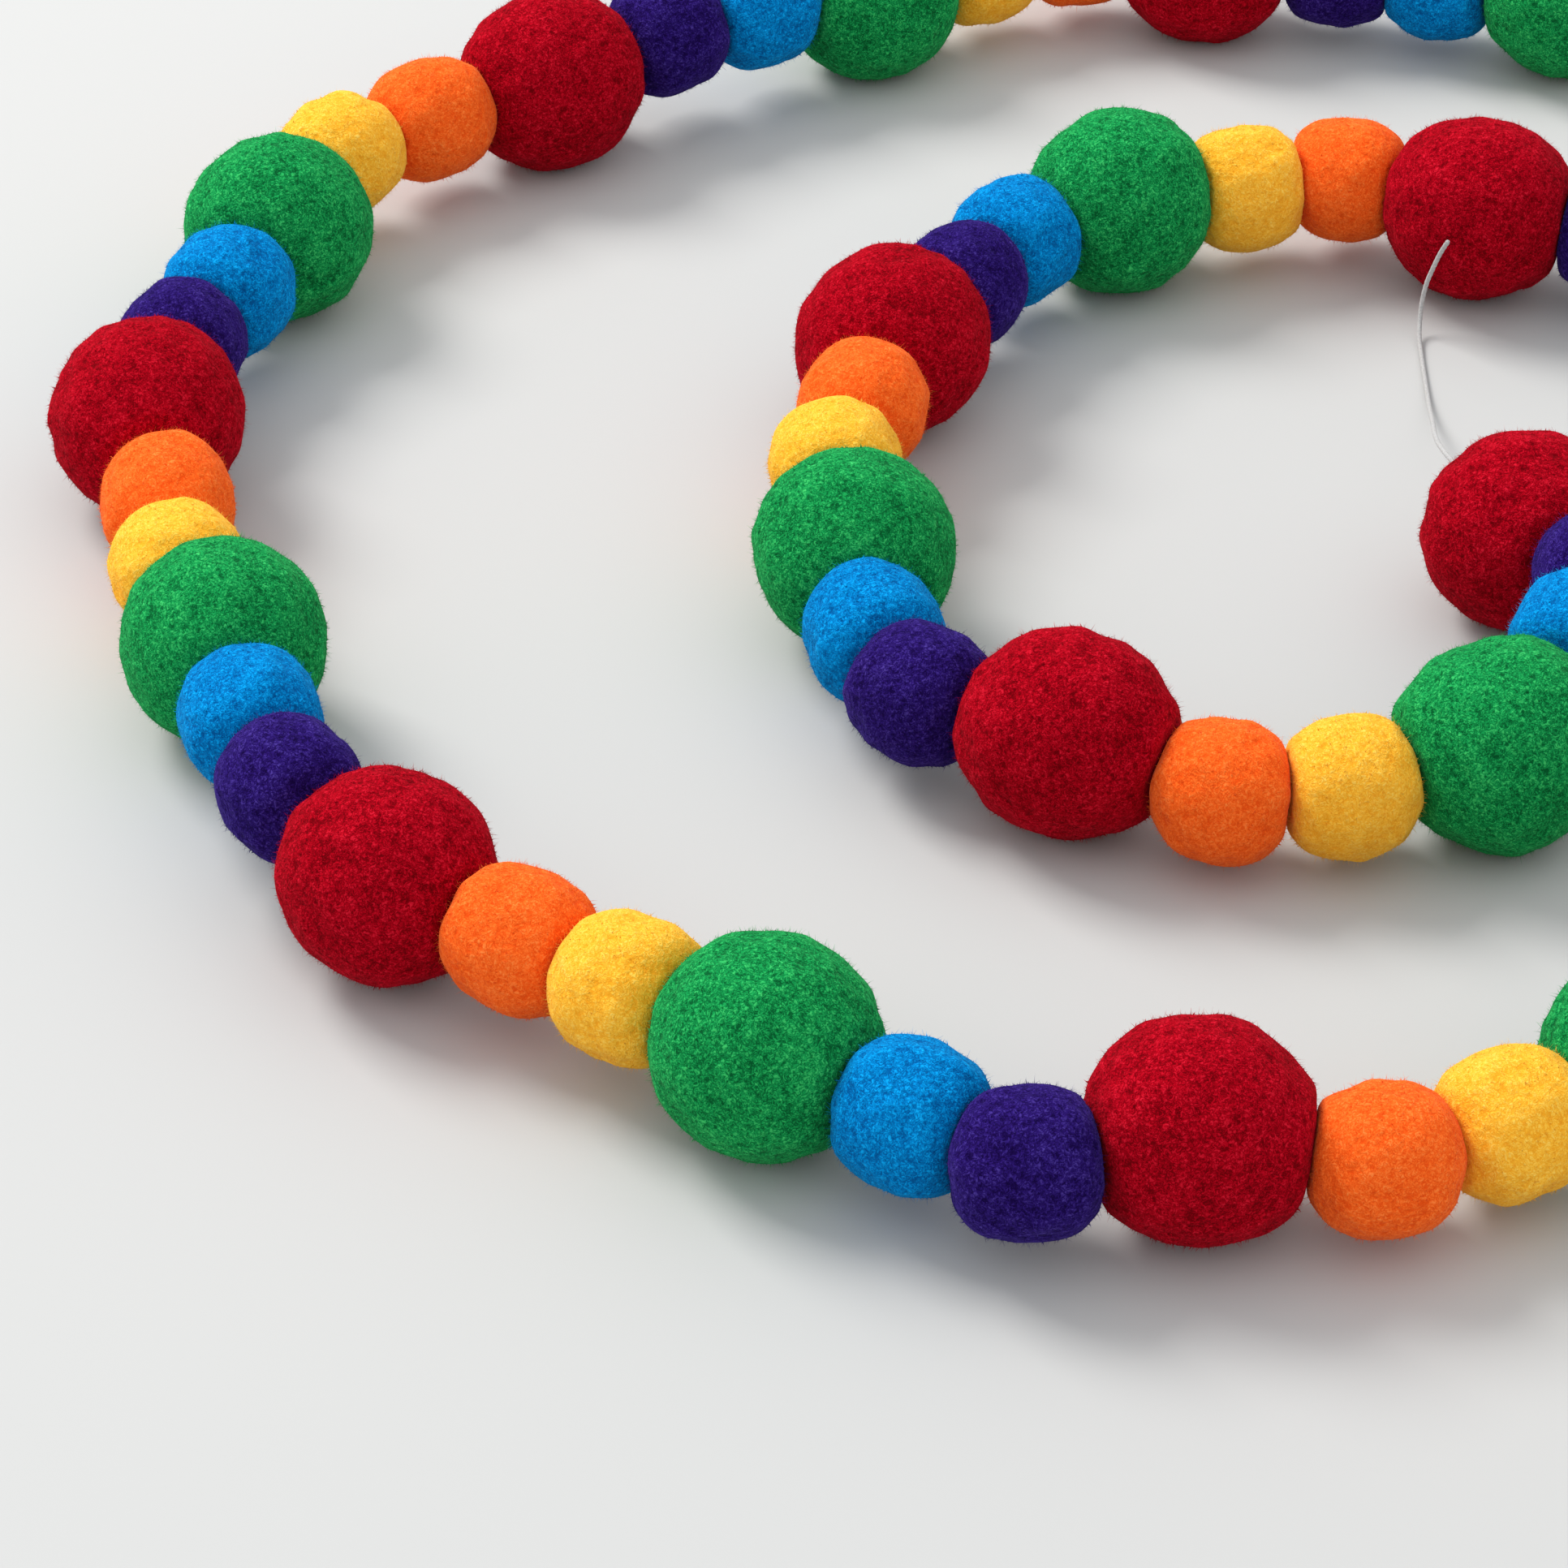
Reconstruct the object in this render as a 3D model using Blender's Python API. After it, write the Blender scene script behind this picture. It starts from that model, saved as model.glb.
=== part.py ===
"""Felt ball garland, laid on a table in a flat spiral.

Soft felt balls are threaded tightly one after another: one large ball, then two small ones, in six
colours that repeat. The balls press flat faces into each other, which squeezes them a little towards
barrels. Every large ball rests on the table on a small flat spot, and the small ones hang just above
it on the tight thread. A bare end of the thread comes out of the inner end ball, falls to the table
and leans on the next turn.
"""

import math

import bmesh
import bpy
import numpy as np

MM = 0.001
CUT_REACH = 0.01  # a point this near the table counts as on it, in millimetres

# Driving sizes, in millimetres
LARGE_RADIUS = 19.0
SMALL_RADIUS = 13.0
LARGE_FLAT = 1.0  # how deep the flat spot under a large ball is pressed in
LARGE_BARREL = 2.2  # squareness along the strand: 2 is a round ball, and more is squarer
SMALL_BARREL = 2.5
CONTACT_GAP = 0.3  # between the pressed faces of two neighbours
LUMP = 0.045  # unevenness of a ball, as a share of its radius
LUMP_WAVES = 6  # waves that add up to it
LUMP_TURNS = 1.6  # typical turns of a wave, in radians over a radius
THREAD_DIAMETER = 1.0
THREAD_STEP = 3.6  # length of thread between two points of its tube
CURVE_STEPS = 20  # steps of the smooth curve in each span of the thread's route

# Fineness of a ball's solid: sides around the strand, and rings along it
LARGE_SIDES, LARGE_RINGS = 16, 8
SMALL_SIDES, SMALL_RINGS = 12, 7
END_ANGLE = math.radians(8)  # from the strand's axis to the first ring at a free end
SHARP_ANGLE = math.radians(42)  # edges that bend more than this stay crisp

# The strand, from its inner end outwards. A section is a large ball and the two small ones after it,
# and the last section is its large ball alone:
# across and away: the large ball's centre on the table, from the middle of the spiral
# first and second: how far the two small balls bow outwards from the straight line between the
# large ones
# slide: how far the two small balls are pushed along the strand, towards the next section
# hang: height of the two small balls above the table
SECTIONS = (
    (72, -29, 15, 12, 0, 12),
    (61, -99, 10, 12, 0, 2),
    (-15, -96, 14, 11, 1, 4),
    (-52, -36, 6, 3, 0, 6),
    (-44, 40, 3, 6, 0, 5),
    (3, 96, 8, 13, 0, 4),
    (76, 93, 6, 6, 0, 3),
    (145, 58, 6, 6, 0, 3),
    (187, -6, 5, 5, 0, 3),
    (185, -82, 5, 5, 0, 3),
    (142, -146, 5, 5, 0, 3),
    (77, -188, 7, 11, 0, 2),
    (1, -207, 15, 9, -2, 4),
    (-68, -185, 0, 0, 0, 4),
    (-132, -138, 7, 5, 0, 7),
    (-166, -66, 3, 1, 0, 3),
    (-187, 12, 3, 1, 0, 5),
    (-167, 85, 11, 8, 0, 5),
    (-114, 149, 0, 0, 0, 8),
    (-46, 190, 8, 11, 0, 4),
    (28, 207, 4, 3, 0, 3),
    (106, 189, 0, 0, 0, 0),
)
PAIR_SHARES = (0.355, 0.645)  # places of the two small balls, as shares of that straight line

# Colours of the balls in their order, as linear red, green and blue
COLOURS = (
    ("red", (0.34, 0.003, 0.010)),
    ("purple", (0.030, 0.014, 0.150)),
    ("blue", (0.004, 0.190, 0.480)),
    ("green", (0.022, 0.270, 0.070)),
    ("yellow", (0.900, 0.460, 0.045)),
    ("orange", (0.900, 0.150, 0.022)),
)
THREAD_COLOUR = (0.80, 0.79, 0.76)
FELT_ROUGHNESS = 0.95
THREAD_ROUGHNESS = 0.8

# Small pairs on the unseen side of the spiral that are one solid each, by the first ball's number
JOINED_PAIRS = (19, 22, 25, 28, 31)

# Bare end of the thread: across, away and up, in millimetres, from the inner end ball to its tip
THREAD_ROUTE = (
    (64.4, -11.4, 18.0),
    (62.5, -7.0, 17.9),
    (60.9, -1.0, 17.0),
    (60.2, 6.5, 14.8),
    (60.4, 15.0, 11.6),
    (61.1, 23.2, 8.2),
    (61.8, 31.5, 5.2),
    (62.3, 39.0, 2.6),
    (62.6, 46.0, 1.2),
    (62.8, 52.5, 0.7),
    (62.9, 58.5, 0.6),
    (63.0, 64.5, 0.6),
    (63.1, 70.0, 1.1),
    (63.4, 73.6, 2.8),
    (63.8, 75.6, 6.0),
    (64.5, 76.3, 10.0),
    (65.6, 76.0, 14.0),
    (66.8, 75.6, 17.7),
    (68.0, 74.5, 21.0),
)


def smooth_curve(points, steps):
    """Catmull-Rom curve through points, without the first and last, with steps in each span."""
    points = np.asarray(points, dtype=float)
    share = np.linspace(0.0, 1.0, steps, endpoint=False)[:, None]
    spans = []
    for before, start, end, after in zip(points, points[1:], points[2:], points[3:]):
        spans.append(
            start
            + 0.5 * share * (end - before)
            + share**2 * (before - 2.5 * start + 2.0 * end - 0.5 * after)
            + share**3 * (1.5 * (start - end) + 0.5 * (after - before))
        )
    spans.append(points[-2][None])
    return np.concatenate(spans)


def along(curve, distances):
    """Points of a curve at the given distances from its start."""
    lengths = np.linalg.norm(np.diff(curve, axis=0), axis=1)
    reached = np.concatenate([[0.0], np.cumsum(lengths)])
    return np.stack([np.interp(distances, reached, axis) for axis in curve.T], axis=1)


def ball_radius(number):
    """Every third ball is a large one."""
    return LARGE_RADIUS if number % 3 == 0 else SMALL_RADIUS


def barrel_power(number):
    """How square a ball is along the strand: the two end balls are pressed on one side and stay round."""
    if number in (0, 3 * (len(SECTIONS) - 1)):
        return 2.0
    return LARGE_BARREL if number % 3 == 0 else SMALL_BARREL


def rim_angle(number, depth):
    """Angle off the strand where a ball reaches a face pressed at some depth from its centre."""
    power = barrel_power(number)
    ratio = max(ball_radius(number) / depth, 1.0)
    return math.atan((ratio**power - 1) ** (1 / power))


def place_balls():
    """Centres of all balls: large ones where the sections say, small ones bowed out between them."""
    centres = []
    for (across, away, *bows, slide, hang), following in zip(SECTIONS, SECTIONS[1:] + (None,)):
        start = np.array((across, away, LARGE_RADIUS - LARGE_FLAT))
        centres.append(start)
        if following is None:
            break
        way = np.array((following[0] - across, following[1] - away, 0.0))
        length = np.linalg.norm(way)
        outwards = np.array((-way[1], way[0], 0.0)) / length
        for share, bow in zip(PAIR_SHARES, bows):
            centre = start + (share + slide / length) * way + bow * outwards
            centre[2] = SMALL_RADIUS + hang
            centres.append(centre)
    return np.array(centres)


def contact(centres, number, other):
    """Face where a ball is pressed by its neighbour: distance from its centre, and direction."""
    offset = centres[other] - centres[number]
    distance = np.linalg.norm(offset)
    own, next_radius = ball_radius(number), ball_radius(other)
    depth = (distance**2 + own**2 - next_radius**2) / (2 * distance)
    return min(depth, own) - CONTACT_GAP / 2, offset / distance


def lumps(points, number):
    """Slow waves over a ball's surface, from -1 to 1, of its own for each ball."""
    chance = np.random.default_rng(number)
    waves = chance.normal(0.0, LUMP_TURNS, (LUMP_WAVES, 3))
    phases = chance.uniform(0.0, 2 * math.pi, LUMP_WAVES)
    return np.sin(points @ waves.T + phases).sum(axis=1) / LUMP_WAVES


def ball_surface(centres, number, axis, first_angle, last_angle, rings, sides):
    """Rings of points over a ball, from one angle off its axis to another."""
    radius = ball_radius(number)
    side = np.cross(axis, (0.0, 0.0, 1.0))
    side /= np.linalg.norm(side)
    up = np.cross(side, axis)
    tilt = np.linspace(first_angle, last_angle, rings)[:, None, None]
    turn = (np.arange(sides) * 2 * math.pi / sides)[None, :, None]
    unit = -np.cos(tilt) * axis + np.sin(tilt) * (np.cos(turn) * side + np.sin(turn) * up)
    unit = unit.reshape(-1, 3)
    power = barrel_power(number)
    squareness = (np.abs(np.cos(tilt)) ** power + np.sin(tilt) ** power) ** (-1 / power)
    swell = (1 + LUMP * lumps(unit, number)) * np.repeat(squareness.ravel(), sides)
    return centres[number] + radius * unit * swell[:, None]


def press(points, centre, depth, direction):
    """Moves what lies beyond a contact face back onto it."""
    beyond = np.maximum((points - centre) @ direction - depth, 0.0)
    return points - beyond[:, None] * direction


def strand_axis(centres, first, last):
    """Direction of the strand through a ball, or through a joined pair."""
    start = centres[first] if last > first or first == 0 else centres[first - 1]
    end = centres[last] if last > first or last == len(centres) - 1 else centres[last + 1]
    return (end - start) / np.linalg.norm(end - start)


def end_face(centres, number, other, axis):
    """Depth, direction and rim angle of a ball's pressed face, or of its round free end."""
    if not 0 <= other < len(centres):
        return None, axis, END_ANGLE
    depth, direction = contact(centres, number, other)
    return depth, direction, rim_angle(number, depth)


def shape_points(centres, first, last):
    """Rings of a single ball or a joined pair, with the pole at each end."""
    large = first % 3 == 0
    sides, rings = (LARGE_SIDES, LARGE_RINGS) if large else (SMALL_SIDES, SMALL_RINGS)
    axis = strand_axis(centres, first, last)
    start_depth, start_way, start_angle = end_face(centres, first, first - 1, -axis)
    end_depth, end_way, end_angle = end_face(centres, last, last + 1, axis)
    if first == last:
        stack = [ball_surface(centres, first, axis, start_angle, math.pi - end_angle, rings, sides)]
    else:
        half = np.linalg.norm(centres[last] - centres[first]) / 2
        waist = rim_angle(first, half)
        stack = [
            ball_surface(centres, first, axis, start_angle, math.pi - waist, rings, sides),
            ball_surface(centres, last, axis, waist, math.pi - end_angle, rings, sides)[sides:],
        ]
    tips = (
        (centres[first], start_way, start_depth or ball_radius(first)),
        (centres[last], end_way, end_depth or ball_radius(last)),
    )
    poles = [centre + way * depth for centre, way, depth in tips]
    points = np.vstack([poles[0], *stack, poles[1]])
    for centre, way, depth in tips:
        points = press(points, centre, depth, way)
    return points, sides


def ring_faces(count, sides):
    """Faces of a closed stack of rings between two poles."""
    rings = (count - 2) // sides
    faces = []
    for turn in range(sides):
        after = (turn + 1) % sides
        faces.append((0, 1 + turn, 1 + after))
        for ring in range(rings - 1):
            low = 1 + ring * sides
            high = low + sides
            faces.append((low + turn, high + turn, high + after, low + after))
        top = 1 + (rings - 1) * sides
        faces.append((count - 1, top + after, top + turn))
    return faces


def flatten_on_table(mesh):
    """Cuts the solid level at the table's top, which leaves the ball's flat spot."""
    body = bmesh.new()
    body.from_mesh(mesh)
    everything = body.verts[:] + body.edges[:] + body.faces[:]
    bmesh.ops.bisect_plane(
        body, geom=everything, dist=CUT_REACH * MM, plane_co=(0, 0, 0), plane_no=(0, 0, -1), clear_outer=True
    )
    rim = [edge for edge in body.edges if edge.is_boundary]
    if rim:
        bmesh.ops.holes_fill(body, edges=rim, sides=len(rim))
    bmesh.ops.recalc_face_normals(body, faces=body.faces)
    body.to_mesh(mesh)
    body.free()


def finish(name, colour, roughness):
    """Plain material of one sub-part."""
    material = bpy.data.materials.new(name)
    material.use_nodes = True
    shader = material.node_tree.nodes["Principled BSDF"]
    shader.inputs["Base Color"].default_value = (*colour, 1.0)
    shader.inputs["Roughness"].default_value = roughness
    shader.inputs["Metallic"].default_value = 0.0
    material.diffuse_color = (*colour, 1.0)
    return material


def make_ball(centres, first, last):
    """One felt ball, or a joined pair of small ones, as its own object."""
    colour = COLOURS[first % len(COLOURS)]
    name = f"ball_{first:02d}_{colour[0]}"
    if last > first:
        name = f"pair_{first:02d}_{colour[0]}_{COLOURS[last % len(COLOURS)][0]}"
    points, sides = shape_points(centres, first, last)
    mesh = bpy.data.meshes.new(name)
    mesh.from_pydata((points * MM).tolist(), [], ring_faces(len(points), sides))
    flatten_on_table(mesh)
    mesh.shade_smooth()
    mesh.set_sharp_from_angle(angle=SHARP_ANGLE)
    ball = bpy.data.objects.new(name, mesh)
    bpy.context.scene.collection.objects.link(ball)
    mesh.materials.append(finish(name, colour[1], FELT_ROUGHNESS))
    if last > first:
        mesh.materials.append(finish(f"{name}_second", COLOURS[last % len(COLOURS)][1], FELT_ROUGHNESS))
        axis = strand_axis(centres, first, last)
        middle = (centres[first] + centres[last]) / 2 * MM
        for face in mesh.polygons:
            face.material_index = int((np.array(face.center) - middle) @ axis > 0)
    return ball


def make_thread():
    """The bare end of the thread as a round tube along its route."""
    route = np.array(THREAD_ROUTE)
    ends = np.vstack([2 * route[0] - route[1], route, 2 * route[-1] - route[-2]])
    curve = smooth_curve(ends, CURVE_STEPS)
    length = np.linalg.norm(np.diff(curve, axis=0), axis=1).sum()
    points = along(curve, np.linspace(0.0, length, round(length / THREAD_STEP) + 1)) * MM
    data = bpy.data.curves.new("thread_tail", "CURVE")
    data.dimensions = "3D"
    data.bevel_depth = THREAD_DIAMETER / 2 * MM
    data.bevel_resolution = 2
    data.use_fill_caps = True
    spline = data.splines.new("POLY")
    spline.points.add(len(points) - 1)
    for target, point in zip(spline.points, points):
        target.co = (*point, 1.0)
    data.materials.append(finish("thread_tail", THREAD_COLOUR, THREAD_ROUGHNESS))
    tail = bpy.data.objects.new("thread_tail", data)
    bpy.context.scene.collection.objects.link(tail)
    print(f"thread tail {length:.1f} mm, {len(points)} points")
    return tail


def main():
    for old in list(bpy.data.objects):
        bpy.data.objects.remove(old)
    centres = place_balls()
    number = 0
    while number < len(centres):
        last = number + 1 if number in JOINED_PAIRS else number
        make_ball(centres, number, last)
        number = last + 1
    make_thread()


main()
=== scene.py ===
# %% [markdown]
# A felt ball garland is a long thread of soft wool balls. Here it lies on a table in a flat spiral:
# one large ball, two small ones, then the next large one, in six colours that repeat. The solids of
# all balls and of the bare thread end come ready as a fixed frame. This lesson dresses them: each
# plain solid gets a felted piece in its place, with lumps, hollows and a short fuzz.

# %% The frame
import math

import bpy
import numpy as np
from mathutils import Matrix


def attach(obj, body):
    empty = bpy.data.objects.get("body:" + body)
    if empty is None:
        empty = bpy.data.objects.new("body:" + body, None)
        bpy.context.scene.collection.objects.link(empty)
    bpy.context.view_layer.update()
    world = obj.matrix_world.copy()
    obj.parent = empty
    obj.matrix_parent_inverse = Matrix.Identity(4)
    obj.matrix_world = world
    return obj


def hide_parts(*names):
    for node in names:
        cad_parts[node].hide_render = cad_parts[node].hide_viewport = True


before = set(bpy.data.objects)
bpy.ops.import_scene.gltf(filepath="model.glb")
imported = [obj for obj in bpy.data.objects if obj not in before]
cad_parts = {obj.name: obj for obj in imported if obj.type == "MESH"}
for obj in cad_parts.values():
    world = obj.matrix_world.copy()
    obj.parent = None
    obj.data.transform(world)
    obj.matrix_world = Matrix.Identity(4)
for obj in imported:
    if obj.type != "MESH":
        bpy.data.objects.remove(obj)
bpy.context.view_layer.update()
MM = 0.001

# %% [markdown]
# The camera looks down on the table at 35 degrees from about a metre away, with a long lens, so
# that the balls at the back are only a little smaller than those in front. A constraint could aim
# it, but it looks straight along the table's depth, so one tilt says it all.

# %% Camera
VIEW_TILT = math.radians(35)
VIEW_DISTANCE = 1.002
VIEW_CENTRE = np.array((-0.065, -0.085, 0.0))
SENSOR_WIDTH = 36.0
FOCAL_SHARE = 3.569  # focal length over the sensor's width


def make_camera():
    """Camera at centre + distance * (0, -cos tilt, sin tilt), turned back to the centre."""
    data = bpy.data.cameras.new("camera")
    data.sensor_width = SENSOR_WIDTH
    data.lens = FOCAL_SHARE * SENSOR_WIDTH
    camera = bpy.data.objects.new("camera", data)
    back = np.array((0.0, -math.cos(VIEW_TILT), math.sin(VIEW_TILT)))
    camera.location = VIEW_CENTRE + VIEW_DISTANCE * back
    camera.rotation_euler = (math.pi / 2 - VIEW_TILT, 0.0, 0.0)
    bpy.context.scene.collection.objects.link(camera)
    bpy.context.scene.camera = camera
    return camera


camera = make_camera()
print(f"lens {camera.data.lens:.1f} mm at {[round(v, 3) for v in camera.location]}")

# %% [markdown]
# Every piece below is a surface worked out as arrays of points, so one helper turns such arrays
# into a mesh. Blender's own sphere with a stack of modifiers could start a ball too, but then no
# formula would say where a point ends up, and the fuzz needs to know. The helper takes the points,
# the faces as rows of point numbers, a flat map of the surface for each face corner, and how proud
# each point stands in the pile. The felt's colours read that last value, from 0 in a hollow to
# about 1 at the tip of a fibre: it paints shade into the hollows and light onto the fibre tips.


# %% From arrays to a piece
def make_piece(name, points, face_rows, corner_map, pile, material):
    """Mesh object from arrays. face_rows is a list of arrays with one row of corners for each face."""
    counts = np.concatenate([np.full(len(rows), rows.shape[1]) for rows in face_rows])
    corners = np.concatenate([rows.ravel() for rows in face_rows])
    mesh = bpy.data.meshes.new(name)
    mesh.vertices.add(len(points))
    mesh.vertices.foreach_set("co", points.astype(np.float32).ravel())
    mesh.loops.add(len(corners))
    mesh.loops.foreach_set("vertex_index", corners.astype(np.int32))
    mesh.polygons.add(len(counts))
    mesh.polygons.foreach_set("loop_start", (np.cumsum(counts) - counts).astype(np.int32))
    mesh.update(calc_edges=True)
    mesh.uv_layers.new(name="OFBake").uv.foreach_set("vector", corner_map.astype(np.float32).ravel())
    # The pile value paints shade into hollows and at fibre roots, and light onto swellings and fibre tips.
    mesh.attributes.new("pile", "FLOAT", "POINT").data.foreach_set("value", pile.astype(np.float32))
    mesh.shade_smooth()
    mesh.materials.append(material)
    piece = bpy.data.objects.new(name, mesh)
    bpy.context.scene.collection.objects.link(piece)
    return piece


def grid_faces(rings, sides, first=0):
    """Quads (ring, turn), (ring + 1, turn), (ring + 1, turn + 1), (ring, turn + 1), closed in turn."""
    ring, turn = np.meshgrid(np.arange(rings - 1), np.arange(sides), indexing="ij")
    ring, turn = ring.ravel(), turn.ravel()
    after = (turn + 1) % sides
    low, high = first + ring * sides, first + (ring + 1) * sides
    return np.stack([low + turn, high + turn, high + after, low + after], axis=1)


def grid_map(rings, sides, first, last):
    """The same quads on a flat map: turns across, and rings from first to last share of its height."""
    ring, turn = np.meshgrid(np.arange(rings - 1), np.arange(sides), indexing="ij")
    ring, turn = ring.ravel(), turn.ravel()
    across = np.stack([turn, turn, turn + 1, turn + 1], axis=1) / sides
    upwards = np.stack([ring, ring + 1, ring + 1, ring], axis=1) / (rings - 1)
    return np.stack([across, first + upwards * (last - first)], axis=2).reshape(-1, 2)


print(f"a grid of 3 rings and 4 sides has {len(grid_faces(3, 4))} quads")

# %% [markdown]
# Wool felt is matt and never one flat colour. Pale fibres curl over darker gaps less than a
# millimetre apart, small pits sit between the clumps, and at a grazing angle the fuzz glows. A flat
# picture of felt wrapped round a ball would show a seam and two poles. Noise that fills space has
# neither, so the colour runs from a deep tone through the dyed colour to a pale tip, led by curls,
# tufts, clumps, patches, pits and the pile's own height. Pits and pile height paint light and shade:
# painted shade darkens the pits, hollows and fibre roots, and painted light brightens swellings and
# fibre tips. The same noises give the bump. They read the place on the object, so no two balls look
# alike.

# %% Wool tones and noises
# The deep tone also serves as painted shade in pits, hollows and fibre roots, and the pale tone as painted
# light on swellings and fibre tips.
FELT_COLOURS = {  # linear deep, dyed and pale tone of the wool, and the tint of its sheen
    "red": ((0.150, 0.0004, 0.003), (0.400, 0.0010, 0.009), (0.640, 0.012, 0.032), (1.0, 0.05, 0.08)),
    "purple": ((0.008, 0.0020, 0.050), (0.023, 0.0080, 0.138), (0.072, 0.042, 0.280), (0.30, 0.20, 1.0)),
    "blue": ((0.001, 0.0900, 0.300), (0.001, 0.2300, 0.600), (0.006, 0.420, 0.900), (0.08, 0.65, 1.0)),
    "green": ((0.002, 0.0950, 0.024), (0.008, 0.3000, 0.072), (0.060, 0.560, 0.145), (0.20, 1.0, 0.35)),
    "yellow": ((0.900, 0.3700, 0.018), (0.990, 0.5150, 0.045), (1.000, 0.650, 0.120), (1.0, 0.80, 0.35)),
    "orange": ((0.830, 0.0800, 0.007), (0.980, 0.1480, 0.018), (1.000, 0.240, 0.052), (1.0, 0.45, 0.25)),
}
CURL_SCALE = 1700.0  # curls in a metre, and the same for the others
TUFT_SCALE = 1350.0
CLUMP_SCALE = 430.0
PATCH_SCALE = 120.0
PORE_SCALE = 400.0
# Pits are painted darker by PORE_SHADE, as painted shade in the pits.
PORE_SIZE, PORE_SHADE = 0.40, 0.15  # reach in the cells' own size, and how much darker
# What each adds to the colour's place between deep and pale. The curl noise has thin low lines, so
# its minus sign makes them pale fibres. The pile's share is painted light on fibre tips and
# swellings, and painted shade in hollows and at fibre roots.
CURL_SHADE, TUFT_SHADE, CLUMP_SHADE, PATCH_SHADE, PILE_LIGHT_AND_SHADE = -0.25, 0.40, 0.10, 0.05, 0.36
DEEP_AT, DYED_AT, PALE_AT = 0.04, 0.24, 0.47  # that place for the three tones
CURL_RISE, TUFT_RISE, CLUMP_RISE, PORE_RISE = -0.5, 1.0, 4.0, 8.0  # what each adds to the bump
FELT_ROUGHNESS = 0.95
FELT_SHINE = 0.02
SHEEN_WEIGHT = 0.2
SHEEN_ROUGHNESS = 0.3
BUMP_HEIGHT, BUMP_STRENGTH = 0.6 * MM, 0.4
print(f"{len(FELT_COLOURS)} colours of wool, finest curls {1000 / CURL_SCALE:.2f} mm apart")

# %% [markdown]
# A material is a tree of nodes, and most lines in it only set values. Small helpers keep the trees
# short. Math nodes take two or three values each, so a weighted sum of many noises is a chain.


# %% Helpers for node trees
def set_inputs(node, values):
    """Sets a node's input values by name."""
    for key, value in values.items():
        node.inputs[key].default_value = value


def add_node(tree, kind, place, **values):
    """New node at a place in the tree, with its input values set by name."""
    node = tree.nodes.new(kind)
    node.location = place
    set_inputs(node, values)
    return node


def weighted_sum(tree, terms, place):
    """Chain of multiply-add nodes: the sum of socket * weight."""
    total = None
    for number, (socket, weight) in enumerate(terms):
        node = tree.nodes.new("ShaderNodeMath")
        node.operation = "MULTIPLY_ADD"
        node.location = (place[0] + 180 * number, place[1])
        tree.links.new(socket, node.inputs[0])
        node.inputs[1].default_value = weight
        node.inputs[2].default_value = 0.0
        if total is not None:
            tree.links.new(total, node.inputs[2])
        total = node.outputs[0]
    return total


# %% [markdown]
# All six wools are felted alike, so one recipe makes six materials that differ in their tones. Wool
# lets a little light through, but scattering under the skin blurs the curls away, so it is left
# out. A touch of sheen gives the soft glow at the outline.


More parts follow.
